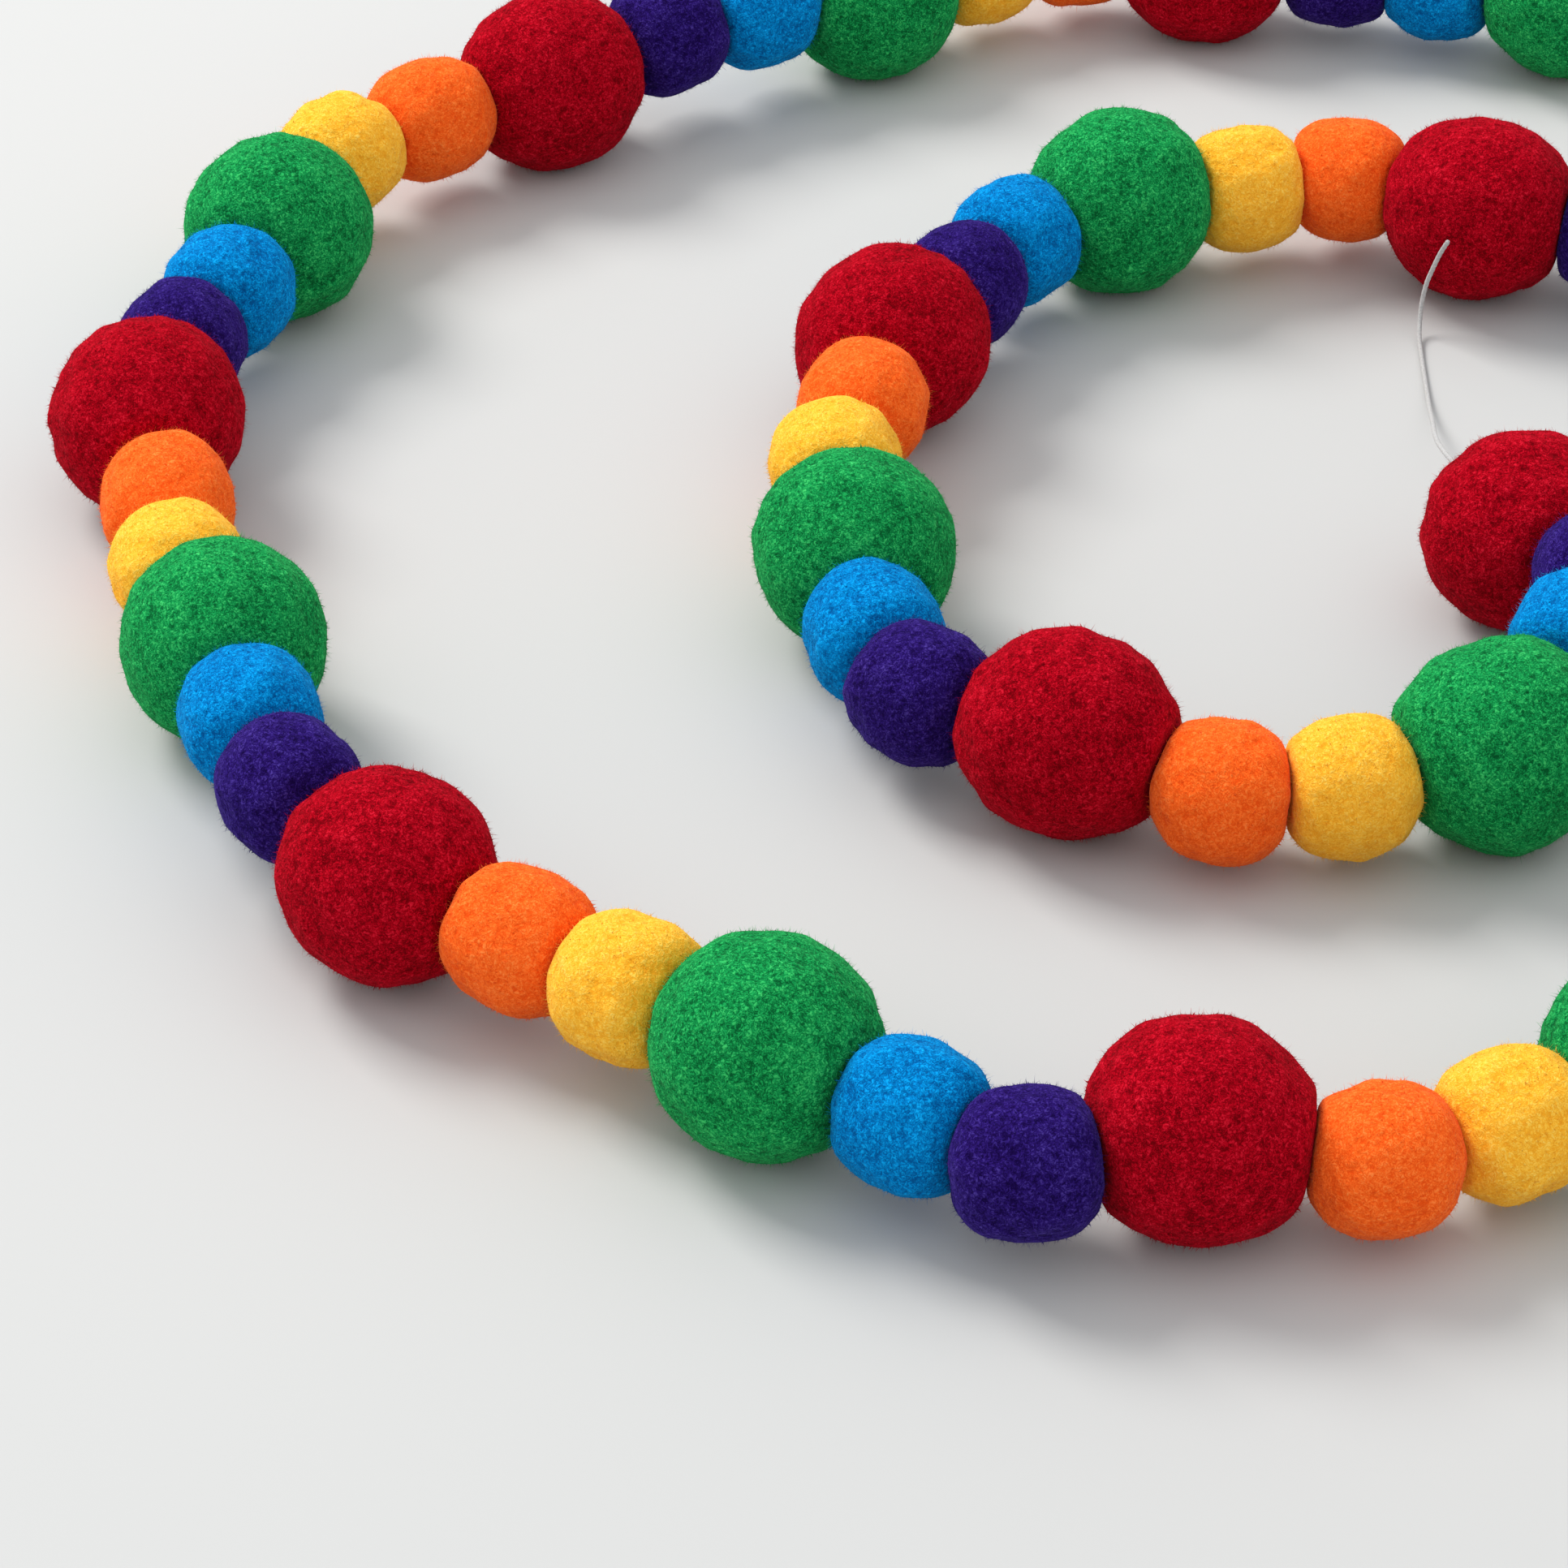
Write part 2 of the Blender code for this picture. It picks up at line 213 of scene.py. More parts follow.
# %% Felt materials
def make_felt(name, deep, dyed, pale, sheen):
    """Felt: one colour ramp and one bump over weighted sums of curls, tufts, clumps, patches and pits, with
    painted shade in the pits and painted light and shade from the pile.
    """
    material = bpy.data.materials.new(f"felt_{name}")
    material.use_nodes = True
    tree = material.node_tree
    shader = tree.nodes["Principled BSDF"]
    set_inputs(shader, {
        "Roughness": FELT_ROUGHNESS,
        "Sheen Weight": SHEEN_WEIGHT,
        "Sheen Roughness": SHEEN_ROUGHNESS,
        "Sheen Tint": (*sheen, 1.0),
        "Specular IOR Level": FELT_SHINE,
    })
    place = add_node(tree, "ShaderNodeTexCoord", (-1400, 0))
    curl = add_node(tree, "ShaderNodeTexNoise", (-1200, 300), Scale=CURL_SCALE, Detail=1.0)
    curl.noise_type = "RIDGED_MULTIFRACTAL"
    set_inputs(curl, {"Offset": 1.0, "Gain": 1.0, "Distortion": 1.0})
    tuft = add_node(tree, "ShaderNodeTexNoise", (-1200, 150), Scale=TUFT_SCALE, Detail=2.0)
    set_inputs(tuft, {"Distortion": 0.5})
    clump = add_node(tree, "ShaderNodeTexNoise", (-1200, 0), Scale=CLUMP_SCALE, Detail=1.0)
    patch = add_node(tree, "ShaderNodeTexNoise", (-1200, -200), Scale=PATCH_SCALE, Detail=1.0)
    pore = add_node(tree, "ShaderNodeTexVoronoi", (-1200, -650), Scale=PORE_SCALE)
    # The pits are painted darker in the colour, as painted shade, and sink in the bump.
    pit = add_node(tree, "ShaderNodeMapRange", (-1000, -650))
    set_inputs(pit, {"From Min": 0.0, "From Max": PORE_SIZE, "To Min": -PORE_SHADE, "To Max": 0.0})
    tree.links.new(pore.outputs["Distance"], pit.inputs["Value"])
    # The pile value paints light onto swellings and fibre tips and shade into hollows and fibre roots.
    pile = add_node(tree, "ShaderNodeAttribute", (-1200, -450))
    pile.attribute_name = "pile"
    for noise in (curl, tuft, clump, patch, pore):
        tree.links.new(place.outputs["Object"], noise.inputs["Vector"])
    terms = [
        (curl.outputs["Fac"], CURL_SHADE),
        (tuft.outputs["Fac"], TUFT_SHADE),
        (clump.outputs["Fac"], CLUMP_SHADE),
        (patch.outputs["Fac"], PATCH_SHADE),
        (pile.outputs["Fac"], PILE_LIGHT_AND_SHADE),
        (pit.outputs["Result"], 1.0),
    ]
    relief_terms = [
        (curl.outputs["Fac"], CURL_RISE),
        (tuft.outputs["Fac"], TUFT_RISE),
        (clump.outputs["Fac"], CLUMP_RISE),
        (pit.outputs["Result"], PORE_RISE),
    ]
    mixed = weighted_sum(tree, terms, (-900, 0))
    ramp = add_node(tree, "ShaderNodeValToRGB", (-150, 0))
    ramp.color_ramp.elements[0].position = DEEP_AT
    ramp.color_ramp.elements[0].color = (*deep, 1.0)
    ramp.color_ramp.elements[1].position = PALE_AT
    ramp.color_ramp.elements[1].color = (*pale, 1.0)
    ramp.color_ramp.elements.new(DYED_AT).color = (*dyed, 1.0)
    tree.links.new(mixed, ramp.inputs["Fac"])
    tree.links.new(ramp.outputs["Color"], shader.inputs["Base Color"])
    bump = add_node(tree, "ShaderNodeBump", (-150, -300), Strength=BUMP_STRENGTH, Distance=BUMP_HEIGHT)
    tree.links.new(weighted_sum(tree, relief_terms, (-700, -300)), bump.inputs["Height"])
    tree.links.new(bump.outputs["Normal"], shader.inputs["Normal"])
    return material


felts = {name: make_felt(name, *tones) for name, tones in FELT_COLOURS.items()}
print(f"{len(felts)} felts")

# %% [markdown]
# The thread comes out of the inner end ball, falls to the table, runs along it and leans on the
# next turn with its bare tip. Its route repeats the points that its solid was made on. A curve
# object with a round bevel could follow them, but the cord's surface needs its points at even
# steps, so the smooth curve is worked out here.

# %% Thread route
THREAD_ROUTE = np.array((
    (64.4, -11.4, 18.0), (62.5, -7.0, 17.9), (60.9, -1.0, 17.0), (60.2, 6.5, 14.8), (60.4, 15.0, 11.6),
    (61.1, 23.2, 8.2), (61.8, 31.5, 5.2), (62.3, 39.0, 2.6), (62.6, 46.0, 1.2), (62.8, 52.5, 0.7),
    (62.9, 58.5, 0.6), (63.0, 64.5, 0.6), (63.1, 70.0, 1.1), (63.4, 73.6, 2.8), (63.8, 75.6, 6.0),
    (64.5, 76.3, 10.0), (65.6, 76.0, 14.0), (66.8, 75.6, 17.7), (68.0, 74.5, 21.0),
)) * MM
THREAD_DIAMETER = 1.0 * MM
THREAD_RINGS, THREAD_SIDES = 400, 12
ROUTE_STEPS = 20  # steps of the smooth curve between two points of the route


def smooth_route(points, steps):
    """Cubic spans through the points: the slope at each is half the way between those beside it."""
    ends = np.vstack([2 * points[0] - points[1], points, 2 * points[-1] - points[-2]])
    share = np.linspace(0.0, 1.0, steps, endpoint=False)[None, :, None]
    before, start, end, after = (ends[k : len(ends) - 3 + k, None] for k in range(4))
    spans = (
        start
        + 0.5 * share * (end - before)
        + share**2 * (before - 2.5 * start + 2.0 * end - 0.5 * after)
        + share**3 * (1.5 * (start - end) + 0.5 * (after - before))
    )
    return np.vstack([spans.reshape(-1, 3), points[-1:]])


def even_points(curve, count):
    """Points at even distances along a curve, read off the sum of its steps, and the distances."""
    reached = np.concatenate([[0.0], np.cumsum(np.linalg.norm(np.diff(curve, axis=0), axis=1))])
    distances = np.linspace(0.0, reached[-1], count)
    return np.stack([np.interp(distances, reached, axis) for axis in curve.T], axis=1), distances


thread_line, thread_reached = even_points(smooth_route(THREAD_ROUTE, ROUTE_STEPS), THREAD_RINGS)

# %% [markdown]
# The cord is cotton, three plies twisted together. A plain tube would do from a step away. Three
# soft ridges that wind along it cost no more points, only a profile whose radius depends on the
# angle and on the length run so far. The cotton is white, but it is painted grey near the table's
# tone, as painted shade of a thread lit from behind, with a fine fibre noise.

# %% Thread piece
PLIES = 3
PLY_RELIEF = 0.16  # depth of the groove between plies, as a share of the thread's radius
PLY_PITCH = 3.6 * MM  # length in which a ply winds once round the thread
CUT_NARROWING = 0.8  # the radius at the two cut ends, as a share of the thread's own
SIDE_MAP, CAP_MAP = 0.98, 0.995  # height of the flat map that the side fills, and the caps' place
FIBRE_SCALE = 3000.0  # fibres in a metre
DARKER_FIBRES_AT, LIGHTER_FIBRES_AT = 0.3, 0.7  # of the fibre noise
# Both cotton tones are white cotton painted grey near the table's tone: painted shade.
COTTON_SHADED_DARKER, COTTON_SHADED_LIGHTER = (0.34, 0.335, 0.33), (0.50, 0.495, 0.49)
COTTON_ROUGHNESS, COTTON_SHEEN = 0.8, 0.2
FIBRE_HEIGHT, FIBRE_STRENGTH = 0.1 * MM, 0.4


def make_cotton():
    """Cotton: white painted grey, as painted shade, with a fine fibre noise in colour and bump."""
    material = bpy.data.materials.new("cotton_thread")
    material.use_nodes = True
    tree = material.node_tree
    shader = tree.nodes["Principled BSDF"]
    set_inputs(shader, {"Roughness": COTTON_ROUGHNESS, "Sheen Weight": COTTON_SHEEN})
    place = add_node(tree, "ShaderNodeTexCoord", (-1000, 0))
    fibre = add_node(tree, "ShaderNodeTexNoise", (-800, 0), Scale=FIBRE_SCALE, Detail=2.0)
    ramp = add_node(tree, "ShaderNodeValToRGB", (-500, 0))
    ramp.color_ramp.elements[0].position = DARKER_FIBRES_AT
    ramp.color_ramp.elements[0].color = (*COTTON_SHADED_DARKER, 1.0)
    ramp.color_ramp.elements[1].position = LIGHTER_FIBRES_AT
    ramp.color_ramp.elements[1].color = (*COTTON_SHADED_LIGHTER, 1.0)
    bump = add_node(tree, "ShaderNodeBump", (-500, -300), Strength=FIBRE_STRENGTH, Distance=FIBRE_HEIGHT)
    tree.links.new(place.outputs["Object"], fibre.inputs["Vector"])
    tree.links.new(fibre.outputs["Fac"], ramp.inputs["Fac"])
    tree.links.new(ramp.outputs["Color"], shader.inputs["Base Color"])
    tree.links.new(fibre.outputs["Fac"], bump.inputs["Height"])
    tree.links.new(bump.outputs["Normal"], shader.inputs["Normal"])
    return material


def make_thread():
    """Profile along the route: radius * (1 - relief * (1 - |cos(plies * angle / 2 - twist)|))."""
    along = np.gradient(thread_line, axis=0)
    along /= np.linalg.norm(along, axis=1, keepdims=True)
    side = np.cross(along, (1.0, 0.0, 0.0))
    side /= np.linalg.norm(side, axis=1, keepdims=True)
    up = np.cross(side, along)
    angle = np.arange(THREAD_SIDES) * 2 * math.pi / THREAD_SIDES
    twist = math.pi * PLIES * thread_reached / PLY_PITCH
    ridge = np.abs(np.cos(PLIES * angle[None] / 2 - twist[:, None]))
    radius = THREAD_DIAMETER / 2 * (1 - PLY_RELIEF * (1 - ridge))
    radius[[0, -1]] *= CUT_NARROWING
    around = np.cos(angle)[None, :, None] * side[:, None] + np.sin(angle)[None, :, None] * up[:, None]
    points = (thread_line[:, None] + radius[..., None] * around).reshape(-1, 3)
    points[:, 2] = np.maximum(points[:, 2], 0.0)
    count = len(points)
    points = np.vstack([points, thread_line[0], thread_line[-1]])
    quads = grid_faces(THREAD_RINGS, THREAD_SIDES)
    turn = np.arange(THREAD_SIDES)
    after = (turn + 1) % THREAD_SIDES
    last = (THREAD_RINGS - 1) * THREAD_SIDES
    start_cap = np.stack([np.full_like(turn, count), turn, after], axis=1)
    end_cap = np.stack([np.full_like(turn, count + 1), last + after, last + turn], axis=1)
    caps = np.full((6 * THREAD_SIDES, 2), CAP_MAP)
    corner_map = np.vstack([grid_map(THREAD_RINGS, THREAD_SIDES, 0.0, SIDE_MAP), caps])
    pile = np.full(len(points), 0.5)
    return make_piece("thread", points, [quads, start_cap, end_cap], corner_map, pile, make_cotton())


thread = make_thread()
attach(thread, "root")
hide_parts("thread_tail")
print(f"thread: {len(thread.data.polygons)} faces")

# %% [markdown]
# The balls stand where their solids do. Reading each solid's box would give its middle only
# roughly, because lumps and pressed faces shift it, so the garland's own table is repeated here. A
# section is a large ball and the two small ones after it. The small ones bow outwards from the
# straight line between two large ones, and hang on the tight thread just above the table.

# %% Where the balls are
LARGE_RADIUS = 19.0
SMALL_RADIUS = 13.0
LARGE_FLAT = 1.0  # depth of the flat spot under a ball
LARGE_BARREL = 2.2  # squareness along the strand: 2 is a round ball, and more is squarer
SMALL_BARREL = 2.5
CONTACT_OVERLAP = 0.5  # how far the felted faces of two neighbours run into each other
PAIR_SHARES = (0.355, 0.645)  # places of the two small balls, as shares of that straight line
COLOUR_ORDER = ("red", "purple", "blue", "green", "yellow", "orange")
# Sections from the inner end outwards, in millimetres: the large ball's place across and away, how
# far the first and the second small ball bow outwards, how far both slide along the strand, and
# how high they hang above the table
SECTIONS = (
    (72, -29, 15, 12, 0, 12),
    (61, -99, 10, 12, 0, 2),
    (-15, -96, 14, 11, 1, 4),
    (-52, -36, 6, 3, 0, 6),
    (-44, 40, 3, 6, 0, 5),
    (3, 96, 8, 13, 0, 4),
    (76, 93, 6, 6, 0, 3),
    (145, 58, 6, 6, 0, 3),
    (187, -6, 5, 5, 0, 3),
    (185, -82, 5, 5, 0, 3),
    (142, -146, 5, 5, 0, 3),
    (77, -188, 7, 11, 0, 2),
    (1, -207, 15, 9, -2, 4),
    (-68, -185, 0, 0, 0, 4),
    (-132, -138, 7, 5, 0, 7),
    (-166, -66, 3, 1, 0, 3),
    (-187, 12, 3, 1, 0, 5),
    (-167, 85, 11, 8, 0, 5),
    (-114, 149, 0, 0, 0, 8),
    (-46, 190, 8, 11, 0, 4),
    (28, 207, 4, 3, 0, 3),
    (106, 189, 0, 0, 0, 0),
)


def ball_radius(number):
    """Every third ball is a large one."""
    return LARGE_RADIUS if number % 3 == 0 else SMALL_RADIUS


def barrel_power(number):
    """How square a ball is along the strand: the two end balls stay round."""
    if number in (0, 3 * (len(SECTIONS) - 1)):
        return 2.0
    return LARGE_BARREL if number % 3 == 0 else SMALL_BARREL


def place_balls():
    """Centres in millimetres: large ones at their places, small ones start + share * way + bow."""
    centres = []
    for (across, away, *bows, slide, hang), following in zip(SECTIONS, SECTIONS[1:] + (None,)):
        start = np.array((across, away, LARGE_RADIUS - LARGE_FLAT))
        centres.append(start)
        if following is None:
            break
        way = np.array((following[0] - across, following[1] - away, 0.0))
        length = np.linalg.norm(way)
        outwards = np.array((-way[1], way[0], 0.0)) / length
        for share, bow in zip(PAIR_SHARES, bows):
            centre = start + (share + slide / length) * way + bow * outwards
            centre[2] = SMALL_RADIUS + hang
            centres.append(centre)
    return np.array(centres)


centres = place_balls()


def strand_frame(number):
    """Axis from the ball before to the one after, and the two directions square to it."""
    before, after = max(number - 1, 0), min(number + 1, len(centres) - 1)
    axis = centres[after] - centres[before]
    axis /= np.linalg.norm(axis)
    side = np.cross(axis, (0.0, 0.0, 1.0))
    side /= np.linalg.norm(side)
    return axis, side, np.cross(side, axis)


print(f"{len(centres)} balls, {len(SECTIONS)} of them large")

# %% [markdown]
# A soft ball is never round. Squeezed along the strand it is a little barrel, and its solid already
# has broad lumps, made from a few waves that run through the ball in chance directions. The felt
# follows both exactly, with the same seeds. On top come finer waves: low swellings and clumps, and
# hollows where the wool has sunk in. A displacement modifier could raise them too. Waves through
# space have no seam and no pole either, and the fuzz can ask them how high the skin stands.

# %% Lumps and hollows
LUMP = 0.045
LUMP_WAVES = 6
LUMP_TURNS = 1.6
PILE_DEPTH = 0.35  # the skin lies this far inside the solid, which the pile reaches, in millimetres
SWELL_SIZE, SWELL_HEIGHT = 12.0, 0.14
CLUMP_SIZE, CLUMP_HEIGHT = 6.0, 0.12
HOLLOW_SIZE, HOLLOW_DEPTH = 8.5, 0.22
HOLLOW_FROM, HOLLOW_TO = 0.7, 3.0  # heights of its waves between which a hollow sinks in
WAVES = 20
WAVE_SPREAD = (0.7, 1.4)  # shortest and longest wave number, as shares of the usual one
SWELL_SEED, CLUMP_SEED, HOLLOW_SEED = 100, 200, 300  # plus the ball's number


def lumps(unit, number):
    """The solid's own lumps: the mean of sin(direction . wave + phase) over six waves."""
    chance = np.random.default_rng(number)
    waves = chance.normal(0.0, LUMP_TURNS, (LUMP_WAVES, 3))
    phases = chance.uniform(0.0, 2 * math.pi, LUMP_WAVES)
    return np.sin(unit @ waves.T + phases).sum(axis=1) / LUMP_WAVES


def squareness(unit, axis, number):
    """The barrel's reach in radii: (|cos|^p + |sin|^p)^(-1/p) of the angle off the strand."""
    power = barrel_power(number)
    cosine = np.clip(np.abs(unit @ axis), 0.0, 1.0)
    return (cosine**power + (1 - cosine**2) ** (power / 2)) ** (-1 / power)


def ripples(places, size, seed):
    """Waves of about one size in all directions: sqrt(2 / n) * sum of sin(k . p + phase)."""
    chance = np.random.default_rng(seed)
    ways = chance.normal(size=(WAVES, 3))
    ways *= chance.uniform(*WAVE_SPREAD, (WAVES, 1)) / np.linalg.norm(ways, axis=1, keepdims=True)
    phases = chance.uniform(0.0, 2 * math.pi, WAVES)
    return np.sin(places @ ways.T * (2 * math.pi / size) + phases).sum(axis=1) * math.sqrt(2 / WAVES)


def ease(low, high, value):
    """Smooth step from 0 at low to 1 at high: share^2 * (3 - 2 * share)."""
    share = np.clip((value - low) / (high - low), 0.0, 1.0)
    return share * share * (3 - 2 * share)


def relief(unit, number):
    """Height of the felt over the lumpy ball, in millimetres: swellings + clumps - hollows."""
    places = unit * ball_radius(number)
    swell = ripples(places, SWELL_SIZE, SWELL_SEED + number)
    clump = ripples(places, CLUMP_SIZE, CLUMP_SEED + number)
    hollow = ease(HOLLOW_FROM, HOLLOW_TO, ripples(places, HOLLOW_SIZE, HOLLOW_SEED + number))
    return SWELL_HEIGHT * swell + CLUMP_HEIGHT * clump - HOLLOW_DEPTH * hollow


turns = np.linspace(0.0, 2 * math.pi, 200)
belt = relief(np.stack([np.cos(turns), np.sin(turns), 0 * turns], axis=1), 0)
print(f"round its middle, ball 0 rises {belt.max():.2f} mm and sinks {-belt.min():.2f} mm")

# %% [markdown]
# Threaded tightly, the balls press flat faces into each other, and felt rounds off at the rim of
# such a face. Cutting with a plane and bevelling the edge would leave a sharp ring somewhere. A soft
# minimum does not: far inside it leaves a point where it is, beyond the face it brings the point
# back onto it, and near the rim it bends smoothly from one to the other. The table does the same to
# the flat spot under a ball.

# %% Pressed faces
RIM = 1.2  # roundness of a pressed face's rim, in millimetres
PRESS = 1.5  # every ball bulges at least this far past the plane of a pressed face
BULGE_FROM, BULGE_TO = 0.62, 0.95  # cosines of the angles off a neighbour between which it rises
FUZZ_FROM, FUZZ_TO = -0.2, 0.5  # millimetres clear of a pressed face between which fuzz sets in
DOWNWARDS = np.array((0.0, 0.0, -1.0))


def contact(number, other):
    """Where a neighbour presses: direction, and depth (d^2 + r^2 - s^2) / 2d and half the overlap."""
    offset = centres[other] - centres[number]
    distance = np.linalg.norm(offset)
    own, next_radius = ball_radius(number), ball_radius(other)
    depth = (distance**2 + own**2 - next_radius**2) / (2 * distance)
    return offset / distance, min(depth, own) + CONTACT_OVERLAP / 2


def felt_surface(unit, number):
    """Points of the felt in the given directions, its relief, and how freely each point stands.

    Reach is radius * (1 + lumps) * squareness - pile depth + relief, raised towards neighbours that
    stand off. A face at some depth then presses a point that lies out along its way back to
    (out + depth) / 2 - sqrt(((out - depth) / 2)^2 + (rim / 2)^2).
    """
    height = relief(unit, number)
    shape = (1 + LUMP * lumps(unit, number)) * squareness(unit, strand_frame(number)[0], number)
    reach = ball_radius(number) * shape - PILE_DEPTH + height
    others = [other for other in (number - 1, number + 1) if 0 <= other < len(centres)]
    neighbours = [contact(number, other) for other in others]
    for way, depth in neighbours:
        missing = max(depth + PRESS + PILE_DEPTH - ball_radius(number), 0.0)
        reach += missing * ease(BULGE_FROM, BULGE_TO, unit @ way)
    points = unit * reach[:, None]
    free = np.ones(len(unit))
    table = (DOWNWARDS, centres[number][2])
    for way, depth in [*neighbours, table]:
        out = points @ way
        pressed = (out + depth) / 2 - np.sqrt(((out - depth) / 2) ** 2 + (RIM / 2) ** 2)
        points += (pressed - out)[:, None] * way
        free *= ease(FUZZ_FROM, FUZZ_TO, depth - out)
    return points + centres[number], height, free


print(f"ball 1 is pressed {contact(1, 0)[1]:.1f} and {contact(1, 2)[1]:.1f} mm from its middle")

# %% [markdown]
# The skin of a ball is a grid of rings round the strand, from one pressed face to the other. An
# icosphere has more even faces, but a grid's poles can hide: they lie in the middle of the pressed
# faces, where nobody sees them. The same two angles give each point its place on the flat map.

# %% Skin of a ball
LARGE_GRID = (44, 92)  # rings and sides
SMALL_GRID = (30, 64)
POLE_SHARE = 0.55  # first ring, as a share of the angle to a pressed face's rim
FREE_POLE = math.radians(4)  # first ring at a free end
MAP_FIRST, MAP_LAST = 0.03, 0.97  # heights of the first and the last ring on the flat map
# The skin's pile value paints shade into hollows and light onto swellings.
SKIN_PILE, RELIEF_SHADE_SLOPE = 0.35, 0.25  # how proud the skin stands, and what a millimetre of relief adds


def pole_angles(number):
    """Angles from the axis to the end rings: a share of the rim's, atan(((r / depth)^p - 1)^(1 / p))."""
    angles = []
    for other in (number - 1, number + 1):
        angle = FREE_POLE
        if 0 <= other < len(centres):
            power = barrel_power(number)
            ratio = max(ball_radius(number) / contact(number, other)[1], 1.0)
            angle = POLE_SHARE * math.atan((ratio**power - 1) ** (1 / power))
        angles.append(angle)
    return angles


def skin_directions(number):
    """Directions -cos(tilt) axis + sin(tilt) (cos(turn) side + sin(turn) up), ring by ring."""
    rings, sides = LARGE_GRID if number % 3 == 0 else SMALL_GRID
    axis, side, up = strand_frame(number)
    first, last = pole_angles(number)
    tilt = np.linspace(first, math.pi - last, rings)[:, None, None]
    turn = (np.arange(sides) * 2 * math.pi / sides)[None, :, None]
    unit = -np.cos(tilt) * axis + np.sin(tilt) * (np.cos(turn) * side + np.sin(turn) * up)
    return np.vstack([unit.reshape(-1, 3), -axis, axis])


def skin_of(number):
    """Points, faces, flat map and pile height of a ball's skin, the pile height painting shade and light.
    """
    rings, sides = LARGE_GRID if number % 3 == 0 else SMALL_GRID
    points, height, _ = felt_surface(skin_directions(number), number)
    turn = np.arange(sides)
    after = (turn + 1) % sides
    start_pole, end_pole = rings * sides, rings * sides + 1
    top = (rings - 1) * sides
    start_cap = np.stack([np.full_like(turn, start_pole), turn, after], axis=1)
    end_cap = np.stack([np.full_like(turn, end_pole), top + after, top + turn], axis=1)
    start_map = np.stack([turn + 0.5, turn, turn + 1], axis=1) / sides
    end_map = np.stack([turn + 0.5, turn + 1, turn], axis=1) / sides
    corner_map = np.vstack([
        grid_map(rings, sides, MAP_FIRST, MAP_LAST),
        np.stack([start_map, np.tile((0.0, MAP_FIRST, MAP_FIRST), (sides, 1))], axis=2).reshape(-1, 2),
        np.stack([end_map, np.tile((1.0, MAP_LAST, MAP_LAST), (sides, 1))], axis=2).reshape(-1, 2),
    ])
    # Painted shade in hollows and painted light on swellings, through the pile value.
    pile = np.clip(SKIN_PILE + RELIEF_SHADE_SLOPE * height, 0.0, 1.0)
    return points, [grid_faces(rings, sides), start_cap, end_cap], corner_map, pile


points, faces, _, _ = skin_of(0)
print(f"a large skin has {len(points)} points and {sum(len(rows) for rows in faces)} faces")

# %% [markdown]
# Fuzz is what makes felt soft to the eye: short fibre ends stand out of the skin everywhere, and
# show best along the outline. Blender's hair could grow them, but it isn't a mesh, so it would be
# lost when the garland is handed on. There are more than a hundred thousand, so each is the
# simplest closed shape there is, a slender spike with three sides and a base sunk in the skin.
# Broad tufts lie low, and thin hairs stand up between them. A spike's place on the flat map is its
# root's, so it takes the colour of the felt it grows from. Its tip is painted lighter and its root
# darker, as painted light and painted shade.

# %% Fuzz
# How many on a square millimetre, shortest and longest and half of the width at the root in
# millimetres, spread of the chance lean, where 1 is about 45 degrees, and the first ball's seed
TUFTS = {"density": 0.28, "lengths": (0.45, 0.9), "widths": (0.11, 0.18), "spread": 1.3, "first_seed": 1000}
HAIRS = {"density": 0.76, "lengths": (0.6, 1.7), "widths": (0.04, 0.06), "spread": 0.9, "first_seed": 2000}
SPIKE_FACES = np.array(((0, 1, 3), (1, 2, 3), (2, 0, 3), (0, 2, 1)))  # 3 is the tip
THINNESS = 0.4  # a spike's thickness over its width
ROOT_DEPTH = 0.15
BARE_BELOW, FULL_ABOVE = -0.97, -0.85  # heights on a ball of radius 1 between which fuzz sets in
THIRD_COSINE, THIRD_SINE = -0.5, math.sqrt(0.75)  # of a third of a turn
# Fibre tips are painted light and their roots painted shade, through the pile value.
TIP_LIGHT_LEVEL, TIP_RELIEF_SHADE_SLOPE, TIP_SPREAD = 0.85, 0.3, 0.15  # how proud a tip stands, by relief and by chance
TIP_MOST = 1.2
ROOT_SHADE_SHARE = 0.3  # how proud a root stands, as a share of its tip's


def scatter_directions(count, seed):
    """Chance directions, even over the sphere: normal draws brought to length 1."""
    unit = np.random.default_rng(seed).normal(size=(count, 3))
    return unit / np.linalg.norm(unit, axis=1, keepdims=True)


def flat_place(unit, number):
    """A direction's place on the ball's flat map: turn across, share of the tilt upwards."""
    axis, side, up = strand_frame(number)
    first, last = pole_angles(number)
    tilt = np.arccos(np.clip(-(unit @ axis), -1, 1))
    across = (np.arctan2(unit @ up, unit @ side) / (2 * math.pi)) % 1.0
    share = np.clip((tilt - first) / (math.pi - last - first), 0.0, 1.0)
    return np.stack([across, MAP_FIRST + (MAP_LAST - MAP_FIRST) * share], axis=1)


